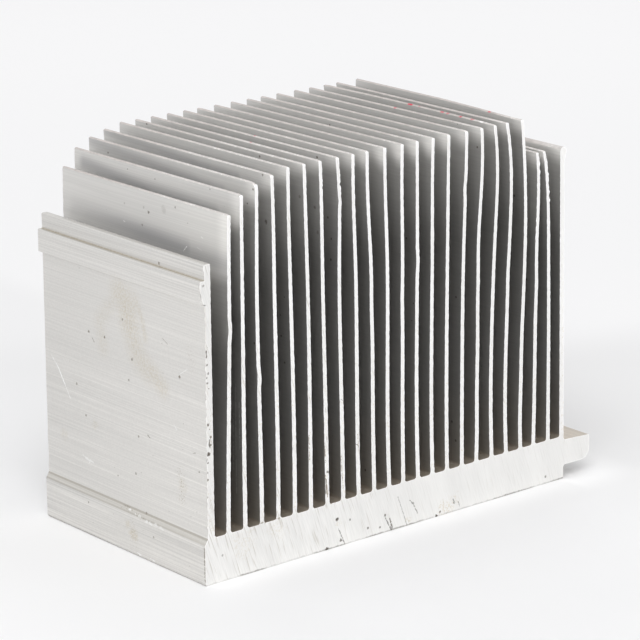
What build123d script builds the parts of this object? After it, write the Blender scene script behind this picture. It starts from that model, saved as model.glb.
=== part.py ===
"""Extruded aluminium heat sink, sawn to length from one high-finned profile.

One solid: a thick base carries a comb of tall thin fins between two outer walls.
X runs across the fins, Y along the extrusion and Z up from the underside of the base.
The origin is under the middle of the whole piece. Sizes are in millimetres.
"""

import os

from build123d import *

# The sawn length
length = 45.6

# The comb: a left wall, the fins and a right wall, all on one pitch
pitch = 3.45
fin_count = 22
fin_root_thickness = 0.86
fin_tip_thickness = 0.64
fin_crown = 0.18
root_radius = 0.5

# Heights above the underside
base_thickness = 8.1
comb_height = 68.1
left_wall_height = 54.8
clip_bay_height = 61.7

# The base, from the middle of the first wall and of the last wall to its sides
base_left_margin = 1.8
base_right_margin = 0.5
base_step = 0.65
base_step_chamfer = 1.0
base_corner_radius = 0.3

# The left wall, with a square rib along its outside
left_wall_root = 1.42
left_wall_tip = 1.18
left_wall_lean = 0.3
left_wall_corner_radius = 0.3
rib_ledge_height = 52.1
rib_depth = 4.1
rib_reach = 0.85
rib_corner_radius = 0.35
rib_root_radius = 0.12

# The right wall, with a rolled bead along its top
right_wall_thickness = 1.02
right_wall_lean = -0.6
bead_radius = 0.75
bead_taper = 2.5

# The tongue on the right side of the base
tongue_reach = 6.5
tongue_bottom = 2.6
tongue_root_thickness = 4.8
tongue_tip_thickness = 4.45
tongue_toe_radius = 1.8
tongue_edge_radius = 0.35
tongue_root_radius = 0.55

# How far the fins that follow the round left shoulder stay below the comb's height,
# and how many fins stand in the lower clip bay beside the right wall
shoulder_drops = {1: 5.9, 2: 3.0, 3: 1.6, 4: 0.7}
clip_bay_fins = 2

# How far each fin's middle line stands to the right of its place on the pitch, from the first
# fin beside the left wall: at its root, where the die let it wander, and at its waist,
# shoulder, neck and tip, where handling has bent it
station_heights = (0.0, 0.4, 0.7, 0.85, 1.0)
fin_bends = (
    (-0.30, 0.30, 0.75, 0.85, 1.05),
    (-0.20, -0.10, 0.05, 0.10, 0.20),
    (-0.10, -0.30, -0.40, -0.25, -0.10),
    (-0.05, -0.05, -0.20, -0.20, -0.35),
    (0.05, 0.00, -0.30, -0.45, -0.45),
    (0.10, 0.10, -0.10, -0.30, -0.50),
    (0.25, -0.05, -0.30, -0.35, -0.55),
    (0.30, 0.00, -0.10, 0.05, -0.35),
    (0.30, 0.10, -0.05, -0.35, -0.40),
    (0.35, 0.15, -0.15, -0.65, -0.75),
    (0.30, 0.05, 0.05, -0.25, -0.35),
    (0.05, 0.00, 0.05, -0.05, 0.05),
    (0.00, -0.25, -0.05, -0.05, -0.05),
    (-0.10, -0.30, -0.10, -0.10, 0.10),
    (-0.15, -0.25, -0.05, 0.05, 0.20),
    (-0.10, -0.05, 0.30, 0.65, 0.85),
    (-0.10, 0.10, 0.30, 0.95, 0.90),
    (0.10, 0.00, 0.75, 1.15, 0.50),
    (0.10, 0.10, 0.80, 0.95, -0.10),
    (0.15, 0.45, 1.00, 0.75, 0.00),
    (-0.10, 0.10, 0.30, 0.60, 0.30),
    (0.05, -0.05, -0.30, -0.55, -1.50),
)

# How far an outline laid over the base reaches down into it
overlap = 1.0

comb_width = (fin_count + 1) * pitch
base_width = base_left_margin + comb_width + base_right_margin
left_face = -(base_width + tongue_reach) / 2
right_face = left_face + base_width
first_wall = left_face + base_left_margin
left_wall_face = left_face + base_step
wall_foot_reach = 2 * root_radius


def between(start, end, share):
    """The value that lies a given share of the way from start to end."""
    return start + (end - start) * share


def wall_side(foot, top, height, wall_height):
    """Where a leaning wall's side stands at a height, from its place at the slot floor and at its top."""
    return between(foot, top, (height - base_thickness) / (wall_height - base_thickness))


def fin_height(number):
    """The height of a fin's tip above the underside of the base."""
    if number > fin_count - clip_bay_fins:
        return clip_bay_height
    return comb_height - shoulder_drops.get(number, 0)


def fin_side(number, side):
    """The points of a fin's left (-1) or right (1) side, from above its root fillet to its tip."""
    pitch_line = first_wall + number * pitch
    root_height = base_thickness + root_radius
    rise = fin_height(number) - fin_crown - root_height
    points = []
    for share, bend in zip(station_heights, fin_bends[number - 1]):
        half = between(fin_root_thickness, fin_tip_thickness, share) / 2
        points.append((pitch_line + bend + side * half, root_height + rise * share))
    return points


def fin_section(number):
    """One fin, with the fillets that flare its root into the slot floor and its crowned tip."""
    left_side = fin_side(number, -1)
    right_side = fin_side(number, 1)
    left_foot = (left_side[0][0] - root_radius, base_thickness)
    right_foot = (right_side[0][0] + root_radius, base_thickness)
    tip_middle = between(Vector(*left_side[-1]), Vector(*right_side[-1]), 0.5)
    with BuildSketch() as section:
        with BuildLine():
            TangentArc(left_foot, left_side[0], tangent=(1, 0))
            Spline(*left_side)
            ThreePointArc(left_side[-1], tip_middle + Vector(0, fin_crown), right_side[-1])
            Spline(*right_side)
            TangentArc(right_foot, right_side[0], tangent=(-1, 0))
            Polyline(
                right_foot,
                (right_foot[0], base_thickness - overlap),
                (left_foot[0], base_thickness - overlap),
                left_foot,
            )
        make_face()
    return section.sketch


def outline(corners):
    """A closed outline through corner points, each rounded to its own radius."""
    points, radii = zip(*corners)
    with BuildSketch() as section:
        with BuildLine():
            FilletPolyline(*points, radius=radii, close=True)
        make_face()
    return section.sketch


def base_section():
    """The base with its stepped left side and the tongue on its right side."""
    tongue_end = right_face + tongue_reach
    return outline((
        ((left_face, 0), base_corner_radius),
        ((right_face, 0), base_corner_radius / 2),
        ((right_face, tongue_bottom), tongue_root_radius),
        ((tongue_end, tongue_bottom), tongue_toe_radius),
        ((tongue_end, tongue_bottom + tongue_tip_thickness), tongue_edge_radius),
        ((right_face, tongue_bottom + tongue_root_thickness), tongue_root_radius),
        ((right_face, base_thickness), 0),
        ((left_wall_face, base_thickness), 0),
        ((left_face, base_thickness - base_step_chamfer), base_corner_radius),
    ))


def left_wall_section():
    """The left wall, with the rib and its square ledge on the outside."""
    face_top = left_wall_face + left_wall_lean + (left_wall_root - left_wall_tip) / 2
    inner_foot = left_wall_face + left_wall_root
    inner_top = face_top + left_wall_tip
    rib_foot_height = rib_ledge_height - rib_depth
    face_at_ledge = wall_side(left_wall_face, face_top, rib_ledge_height, left_wall_height)
    face_at_rib_foot = wall_side(left_wall_face, face_top, rib_foot_height, left_wall_height)
    return outline((
        ((inner_foot + wall_foot_reach, base_thickness), 0),
        ((inner_foot, base_thickness), root_radius),
        ((inner_top, left_wall_height), left_wall_corner_radius / 2),
        ((face_top, left_wall_height), left_wall_corner_radius),
        ((face_at_ledge, rib_ledge_height), rib_root_radius),
        ((face_at_ledge - rib_reach, rib_ledge_height), rib_corner_radius / 2),
        ((face_at_rib_foot - rib_reach, rib_foot_height), rib_corner_radius),
        ((face_at_rib_foot, rib_foot_height), rib_root_radius),
        ((left_wall_face, base_thickness), 0),
        ((left_wall_face, base_thickness - overlap), 0),
        ((inner_foot + wall_foot_reach, base_thickness - overlap), 0),
    ))


def right_wall_section():
    """The right wall and the bead along its top, flush with the wall's inner side."""
    inner_foot = right_face - right_wall_thickness
    neck_height = clip_bay_height - bead_taper
    neck = wall_side(inner_foot, inner_foot + right_wall_lean, neck_height, clip_bay_height)
    wall = outline((
        ((inner_foot - wall_foot_reach, base_thickness), 0),
        ((inner_foot, base_thickness), root_radius),
        ((neck, neck_height), 0),
        ((neck + right_wall_thickness, neck_height), 0),
        ((right_face, base_thickness), 0),
        ((right_face, base_thickness - overlap), 0),
        ((inner_foot - wall_foot_reach, base_thickness - overlap), 0),
    ))
    with BuildLine() as bead:
        CenterArc((neck + bead_radius, clip_bay_height - bead_radius), bead_radius, 0, 360)
        Line((neck, neck_height), (neck + right_wall_thickness, neck_height))
    with BuildSketch() as section:
        add(wall)
        make_hull(bead.edges())
    return section.sketch


with BuildPart() as heat_sink:
    with BuildSketch(Plane.XZ):
        add(base_section())
        add(left_wall_section())
        add(right_wall_section())
        for fin_number in range(1, fin_count + 1):
            add(fin_section(fin_number))
    extrude(amount=length / 2, both=True)

heat_sink.part.label = "heat_sink"
os.makedirs("parts", exist_ok=True)
export_step(heat_sink.part, "parts/heat_sink.step")
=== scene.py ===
"""Dresses the sawn aluminium heat sink and sets it on a pale studio floor.

Sizes are in metres in the part's own frame: X runs across the fins towards the tongue, Y along
the extrusion away from the sawn end that faces the camera, and Z up from the underside.
"""

from __future__ import annotations

import logging
import math
from dataclasses import dataclass, field
from enum import Enum
from typing import Callable, ClassVar, Iterator

import bmesh
import bpy
from mathutils import Matrix, Vector, noise


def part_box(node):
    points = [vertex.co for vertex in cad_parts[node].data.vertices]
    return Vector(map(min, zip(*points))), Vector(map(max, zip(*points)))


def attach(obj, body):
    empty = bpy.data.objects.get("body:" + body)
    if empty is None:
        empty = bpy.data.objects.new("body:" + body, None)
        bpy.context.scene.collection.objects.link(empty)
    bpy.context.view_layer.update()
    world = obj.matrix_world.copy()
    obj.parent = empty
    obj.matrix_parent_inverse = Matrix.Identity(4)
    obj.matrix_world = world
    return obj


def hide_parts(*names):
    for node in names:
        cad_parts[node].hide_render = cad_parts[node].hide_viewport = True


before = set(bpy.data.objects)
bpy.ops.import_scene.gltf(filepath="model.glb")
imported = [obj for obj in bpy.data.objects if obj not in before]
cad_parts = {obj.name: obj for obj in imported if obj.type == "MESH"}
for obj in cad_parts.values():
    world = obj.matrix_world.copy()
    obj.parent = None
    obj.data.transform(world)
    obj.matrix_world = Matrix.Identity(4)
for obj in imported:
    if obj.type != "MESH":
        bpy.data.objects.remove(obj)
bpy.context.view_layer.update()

MM = 0.001
NODE = "heat_sink"
BODY = "root"

log = logging.getLogger("heat_sink_scene")

Socket = bpy.types.NodeSocket
Colour = tuple[float, float, float, float]


class Axis(Enum):
    """The directions in which an edge can be made uneven."""

    ACROSS = "X"
    UP = "Z"


class Surface(Enum):
    """The finishes on the extrusion, by their material slot."""

    MILL = 0
    SAWN = 1
    RIM = 2
    SLOT = 3
    TIP = 4


def smooth(share: float) -> float:
    """A share held between 0 and 1, eased at both."""
    held = min(max(share, 0.0), 1.0)
    return held * held * (3 - 2 * held)


def spaced(start: float, end: float, step: float) -> Iterator[float]:
    """The places from start up to end, a step apart."""
    for count in range(math.ceil((end - start) / step)):
        yield start + count * step


# What a place is stretched by to lose its part across the fins
ACROSS_FLAT = (0.0, 1.0, 1.0)


def on_left(y: float, z: float) -> Vector:
    """A place on the left side, in millimetres, flattened across."""
    return Vector((0, y, z)) * MM


def on_front(x: float, z: float) -> Vector:
    """A place on the sawn end that faces the camera, in millimetres, flattened along the length."""
    return Vector((x, 0, z)) * MM


def on_fin(x: float, y: float, z: float) -> Vector:
    """A place on a fin's side, in millimetres."""
    return Vector((x, y, z)) * MM


def on_tips(x: float, y: float) -> Vector:
    """A place on the fins' tips, in millimetres, flattened in height."""
    return Vector((x, y, 0)) * MM


@dataclass(frozen=True)
class Patch:
    """A soft ragged patch: its middle, its reach in millimetres and how strongly it shows."""

    middle: Vector
    reach: float
    show: float = 1.0


@dataclass(frozen=True)
class Trail:
    """A line of strokes through a few places.

    It has a width in millimetres, how strongly it shows and how ragged it is, from 0 to 1.
    """

    places: tuple[Vector, ...]
    width: float
    show: float = 1.0
    ragged: float = 1.0


class Wiring:
    """Lays nodes in one tree and joins them."""

    def __init__(self, tree: bpy.types.NodeTree) -> None:
        """Starts on a tree."""
        self.tree = tree

    def add(self, kind: str, **settings: object) -> bpy.types.Node:
        """Adds a node.

        Args:
            kind: the node's type.
            settings: its properties, by name.

        Returns:
            The node.
        """
        node = self.tree.nodes.new(kind)
        for name, value in settings.items():
            setattr(node, name, value)
        return node

    def feed(self, socket: Socket, source: object) -> None:
        """Links a socket to its source, or sets it to a plain value.

        Args:
            socket: the input socket.
            source: an output socket or a plain value.
        """
        if isinstance(source, Socket):
            self.tree.links.new(source, socket)
        else:
            socket.default_value = source

    def sum(self, operation: str, *terms: object, clamp: bool = False) -> Socket:
        """Works out a number with a Math node.

        Args:
            operation: what the node does.
            terms: the numbers or sockets that it does it to.
            clamp: whether the result is held between 0 and 1.

        Returns:
            The result.
        """
        node = self.add("ShaderNodeMath", operation=operation, use_clamp=clamp)
        for socket, term in zip(node.inputs, terms):
            self.feed(socket, term)
        return node.outputs[0]

    def vector(self, operation: str, *terms: object) -> bpy.types.Node:
        """Works with vectors in a Vector Math node.

        Args:
            operation: what the node does.
            terms: the vectors or sockets that it does it to.

        Returns:
            The node, which has a vector and a plain value to give.
        """
        node = self.add("ShaderNodeVectorMath", operation=operation)
        for socket, term in zip(node.inputs, terms):
            self.feed(socket, term)
        return node

    def stretch(self, vector: Socket, shares: tuple[float, float, float]) -> Socket:
        """A vector with each part times its share."""
        return self.vector("MULTIPLY", vector, shares).outputs[0]

    def ramp(self, source: Socket, low: float, high: float, start: float = 0.0, end: float = 1.0) -> Socket:
        """Carries a value smoothly from start to end as its source goes from low to high.

        Args:
            source: what the value follows.
            low: the source at the start.
            high: the source at the end.
            start: the value up to low.
            end: the value from high on.

        Returns:
            The value.
        """
        node = self.add("ShaderNodeMapRange", interpolation_type="SMOOTHSTEP")
        for name, value in (("From Min", low), ("From Max", high), ("To Min", start), ("To Max", end)):
            self.feed(node.inputs[name], value)
        self.feed(node.inputs["Value"], source)
        return node.outputs["Result"]

    def blend(self, share: object, first: object, second: object, mode: str = "MIX") -> Socket:
        """Mixes two colours.

        Args:
            share: how much of the second colour there is.
            first: the colour below.
            second: the colour above.
            mode: how the second colour meets the first.

        Returns:
            The mixed colour.
        """
        node = self.add("ShaderNodeMix", data_type="RGBA", blend_type=mode)
        self.feed(node.inputs["Factor"], share)
        colour_inputs = [socket for socket in node.inputs if socket.type == "RGBA"]
        self.feed(colour_inputs[0], first)
        self.feed(colour_inputs[1], second)
        return next(socket for socket in node.outputs if socket.type == "RGBA")

    def shade(self, colour: object, tone: object) -> Socket:
        """A colour multiplied by a tone."""
        return self.blend(1.0, colour, tone, "MULTIPLY")

    def tint(self, colour: object, mask: object, tone: Colour) -> Socket:
        """A colour multiplied by a tone where a mask shows."""
        return self.blend(mask, colour, self.shade(colour, tone))

    def noise(self, vector: Socket, scale: object, detail: float, roughness: float) -> Socket:
        """Adds a noise texture.

        Args:
            vector: the place that it is read at.
            scale: how fine it is.
            detail: how many finer layers lie on it.
            roughness: how strong these are.

        Returns:
            The noise, from 0 to 1 and mostly near 0.5.
        """
        node = self.add("ShaderNodeTexNoise")
        values = {"Vector": vector, "Scale": scale, "Detail": detail, "Roughness": roughness}
        for name, value in values.items():
            self.feed(node.inputs[name], value)
        return node.outputs["Fac"]

    def parts(self, vector: Socket) -> tuple[Socket, Socket, Socket]:
        """Splits a vector.

        Args:
            vector: the vector.

        Returns:
            Its three parts.
        """
        node = self.add("ShaderNodeSeparateXYZ")
        self.feed(node.inputs[0], vector)
        return tuple(node.outputs)

    def fold(self, operation: str, first: object, *others: object) -> Socket:
        """Carries one operation through several values.

        Args:
            operation: what a Math node does to each two.
            first: the first value.
            others: the values that follow.

        Returns:
            The result.
        """
        for other in others:
            first = self.sum(operation, first, other)
        return first

    def strongest(self, *masks: Socket) -> Socket:
        """The highest of several masks at each point."""
        return self.fold("MAXIMUM", *masks)

    def product(self, *values: object) -> Socket:
        """Several values times each other."""
        return self.fold("MULTIPLY", *values)

    def effect(self, tree: bpy.types.NodeTree, **inputs: object) -> bpy.types.Node:
        """Places a shared effect in this tree.

        Args:
            tree: the effect's node group.
            inputs: its inputs, by name.

        Returns:
            The node that holds it.
        """
        node = self.add("ShaderNodeGroup", node_tree=tree)
        for name, value in inputs.items():
            self.feed(node.inputs[name], value)
        return node

    def bump(self, shader: bpy.types.Node, height: Socket, strength: float, reach: float) -> None:
        """Raises fine relief on a shader.

        Args:
            shader: the shader.
            height: the relief, from 0 to 1.
            strength: how strongly it shows.
            reach: how high it stands.
        """
        node = self.add("ShaderNodeBump")
        node.inputs["Strength"].default_value = strength
        node.inputs["Distance"].default_value = reach
        self.feed(node.inputs["Height"], height)
        self.feed(shader.inputs["Normal"], node.outputs[0])


FLOAT = "NodeSocketFloat"
VECTOR = "NodeSocketVector"


def new_effect(name: str, inputs: dict[str, str], outputs: dict[str, str]) -> tuple[Wiring, dict, dict]:
    """Starts a shared node group.

    Args:
        name: what the group is called.
        inputs: the socket type of each input, by name.
        outputs: the socket type of each output, by name.

    Returns:
        The wiring of the group, its input sockets and its output sockets, by name.
    """
    tree = bpy.data.node_groups.new(name, "ShaderNodeTree")
    for label, kind in inputs.items():
        tree.interface.new_socket(label, in_out="INPUT", socket_type=kind)
    for label, kind in outputs.items():
        tree.interface.new_socket(label, in_out="OUTPUT", socket_type=kind)
    wiring = Wiring(tree)
    entry = wiring.add("NodeGroupInput")
    exit_node = wiring.add("NodeGroupOutput")
    given = {label: entry.outputs[label] for label in inputs}
    wanted = {label: exit_node.inputs[label] for label in outputs}
    return wiring, given, wanted


class Effects:
    """The surface effects that more than one finish uses, each built once."""

    # How much a line changes along its run, against across it
    die_run: ClassVar[float] = 0.006
    saw_run: ClassVar[float] = 0.065

    # Where the noise is high enough for a thread of the die or a mark of the saw, from none to full
    thread_range: ClassVar[tuple[float, float]] = (0.58, 0.72)
    mark_range: ClassVar[tuple[float, float]] = (0.59, 0.73)

    def __init__(self) -> None:
        """Builds every effect."""
        self.die_lines = self._die_lines()
        self.saw_lines = self._saw_lines()
        self.smudge = self._smudge()
        self.stroke = self._stroke()
        self.specks = self._specks()
        self.dark_foot_line = self._dark_foot_line()

    def _die_lines(self) -> bpy.types.NodeTree:
        """Makes the fine lines that the die drags along, the broad bands among them, and grain.

        Returns:
            The node group.
        """
        outputs = {"Lines": FLOAT, "Threads": FLOAT, "Bands": FLOAT, "Grain": FLOAT}
        wiring, given, wanted = new_effect("die_lines", {"Vector": VECTOR}, outputs)
        drawn = wiring.stretch(given["Vector"], (1.0, self.die_run, 1.0))
        apart = wiring.vector("ADD", drawn, (0.1, 0.2, 0.3)).outputs[0]
        threads = wiring.noise(apart, scale=4800.0, detail=1.0, roughness=0.5)
        wiring.feed(wanted["Lines"], wiring.noise(drawn, scale=4400.0, detail=1.0, roughness=0.6))
        wiring.feed(wanted["Threads"], wiring.ramp(threads, *self.thread_range))
        wiring.feed(wanted["Bands"], wiring.noise(drawn, scale=160.0, detail=2.0, roughness=0.6))
        wiring.feed(wanted["Grain"], wiring.noise(given["Vector"], scale=2600.0, detail=3.0, roughness=0.6))
        return wiring.tree

    def _saw_lines(self) -> bpy.types.NodeTree:
        """Makes the steep slanted lines of a saw blade over an end face.

        Returns:
            The node group.
        """
        inputs = {"Vector": VECTOR, "Slant": FLOAT}
        outputs = {"Grooves": FLOAT, "Marks": FLOAT, "Bands": FLOAT}
        wiring, given, wanted = new_effect("saw_lines", inputs, outputs)
        x, _, z = wiring.parts(given["Vector"])
        line_place = wiring.add("ShaderNodeCombineXYZ")
        wiring.feed(line_place.inputs["X"], wiring.sum("MULTIPLY_ADD", z, given["Slant"], x))
        wiring.feed(line_place.inputs["Z"], wiring.sum("MULTIPLY", z, self.saw_run))
        sawn = line_place.outputs[0]
        marks = wiring.noise(sawn, scale=2900.0, detail=1.0, roughness=0.5)
        wiring.feed(wanted["Grooves"], wiring.noise(sawn, scale=4400.0, detail=1.0, roughness=0.6))
        wiring.feed(wanted["Marks"], wiring.ramp(marks, *self.mark_range))
        wiring.feed(wanted["Bands"], wiring.noise(sawn, scale=180.0, detail=1.0, roughness=0.5))
        return wiring.tree

    def _smudge(self) -> bpy.types.NodeTree:
        """Makes a soft ragged patch round a place.

        Returns:
            The node group.
        """
        inputs = {"Vector": VECTOR, "Middle": VECTOR, "Reach": FLOAT, "Show": FLOAT}
        wiring, given, wanted = new_effect("smudge", inputs, {"Mask": FLOAT})
        away = wiring.vector("DISTANCE", given["Vector"], given["Middle"]).outputs["Value"]
        fineness = wiring.sum("DIVIDE", 1.2, given["Reach"])
        ragged = wiring.noise(given["Vector"], scale=fineness, detail=3.0, roughness=0.65)
        edge = wiring.sum("MULTIPLY_ADD", ragged, 1.8, wiring.sum("DIVIDE", away, given["Reach"]))
        wiring.feed(wanted["Mask"], wiring.product(wiring.ramp(edge, 1.85, 1.25), given["Show"]))
        return wiring.tree

    def _stroke(self) -> bpy.types.NodeTree:
        """Makes a stroke from one place to another, broken here and there.

        Returns:
            The node group.
        """
        inputs = {
            "Vector": VECTOR, "Start": VECTOR, "End": VECTOR,
            "Width": FLOAT, "Show": FLOAT, "Ragged": FLOAT,
        }
        wiring, given, wanted = new_effect("stroke", inputs, {"Mask": FLOAT})
        offset = wiring.vector("SUBTRACT", given["Vector"], given["Start"]).outputs[0]
        run = wiring.vector("SUBTRACT", given["End"], given["Start"]).outputs[0]
        gone = wiring.vector("DOT_PRODUCT", offset, run).outputs["Value"]
        length = wiring.vector("DOT_PRODUCT", run, run).outputs["Value"]
        nearest = wiring.add("ShaderNodeVectorMath", operation="SCALE")
        wiring.feed(nearest.inputs[0], run)
        wiring.feed(nearest.inputs["Scale"], wiring.sum("DIVIDE", gone, length, clamp=True))
        away = wiring.vector("DISTANCE", offset, nearest.outputs[0]).outputs["Value"]
        fineness = wiring.sum("DIVIDE", 0.5, given["Width"])
        breaks = wiring.noise(given["Vector"], scale=fineness, detail=2.0, roughness=0.5)
        swing = wiring.product(wiring.ramp(breaks, 0.38, 0.62, -0.2, 0.2), given["Ragged"])
        half = wiring.product(given["Width"], wiring.sum("ADD", swing, 0.5))
        core = wiring.product(given["Ragged"], 0.2)
        mask = wiring.ramp(wiring.sum("DIVIDE", away, half), 1.0, core)
        wiring.feed(wanted["Mask"], wiring.product(mask, given["Show"]))
        return wiring.tree

    def _specks(self) -> bpy.types.NodeTree:
        """Makes small specks, scattered at random.

        Returns:
            The node group.
        """
        inputs = {"Vector": VECTOR, "Spacing": FLOAT, "Size": FLOAT}
        wiring, given, wanted = new_effect("specks", inputs, {"Mask": FLOAT})
        cells = wiring.add("ShaderNodeTexVoronoi", feature="F1")
        wiring.feed(cells.inputs["Vector"], given["Vector"])
        wiring.feed(cells.inputs["Scale"], wiring.sum("DIVIDE", 1.0, given["Spacing"]))
        away = wiring.product(cells.outputs["Distance"], given["Spacing"])
        chance = wiring.add("ShaderNodeSeparateColor")
        wiring.feed(chance.inputs[0], cells.outputs["Color"])
        size = wiring.product(given["Size"], wiring.ramp(chance.outputs[0], 0.62, 0.9))
        wiring.feed(wanted["Mask"], wiring.ramp(wiring.sum("SUBTRACT", away, size), 0.06 * MM, 0.0))
        return wiring.tree

    def _dark_foot_line(self) -> bpy.types.NodeTree:
        """Makes a thin rough dark line along the bottom edge.

        Returns:
            The node group.
        """
        wiring, given, wanted = new_effect("dark_foot_line", {"Vector": VECTOR}, {"Mask": FLOAT})
        _, _, z = wiring.parts(given["Vector"])
        ragged = wiring.noise(given["Vector"], scale=900.0, detail=3.0, roughness=0.7)
        height = wiring.sum("MULTIPLY_ADD", ragged, -0.6 * MM, z)
        patches = wiring.noise(given["Vector"], scale=150.0, detail=2.0, roughness=0.5)
        patchy = wiring.ramp(patches, 0.4, 0.6, 0.35, 1.0)
        wiring.feed(wanted["Mask"], wiring.product(wiring.ramp(height, 0.0, -0.22 * MM), patchy))
        return wiring.tree

    def patches(self, wiring: Wiring, vector: Socket, patches: tuple[Patch, ...]) -> Socket:
        """Lays several patches over each other.

        Args:
            wiring: the wiring of the material.
            vector: the place on the surface, flattened like the patches' own.
            patches: the patches.

        Returns:
            How strongly the strongest one shows.
        """
        masks = []
        for patch in patches:
            values = {"Middle": patch.middle, "Reach": patch.reach * MM, "Show": patch.show}
            masks.append(wiring.effect(self.smudge, Vector=vector, **values).outputs[0])
        return wiring.strongest(*masks)

    def trails(self, wiring: Wiring, vector: Socket, trails: tuple[Trail, ...]) -> Socket:
        """Lays several trails over each other.

        Args:
            wiring: the wiring of the material.
            vector: the place on the surface, flattened like the trails' own.
            trails: the trails.

        Returns:
            How strongly the strongest one shows.
        """
        masks = []
        for trail in trails:
            values = {"Width": trail.width * MM, "Show": trail.show, "Ragged": trail.ragged}
            for start, end in zip(trail.places, trail.places[1:]):
                stroke = wiring.effect(self.stroke, Vector=vector, Start=start, End=end, **values)
                masks.append(stroke.outputs[0])
        return wiring.strongest(*masks)


def new_material(name: str) -> tuple[bpy.types.Material, Wiring, bpy.types.Node, Socket]:
    """Starts a material.

    Args:
        name: what the material is called.

    Returns:
        The material, its wiring, its Principled shader and its Object coordinates.
    """
    material = bpy.data.materials.new(name)
    material.use_nodes = True
    material.node_tree.nodes.clear()
    wiring = Wiring(material.node_tree)
    shader = wiring.add("ShaderNodeBsdfPrincipled")
    output = wiring.add("ShaderNodeOutputMaterial")
    wiring.feed(output.inputs["Surface"], shader.outputs[0])
    place = wiring.add("ShaderNodeTexCoord").outputs["Object"]
    return material, wiring, shader, place


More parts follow.
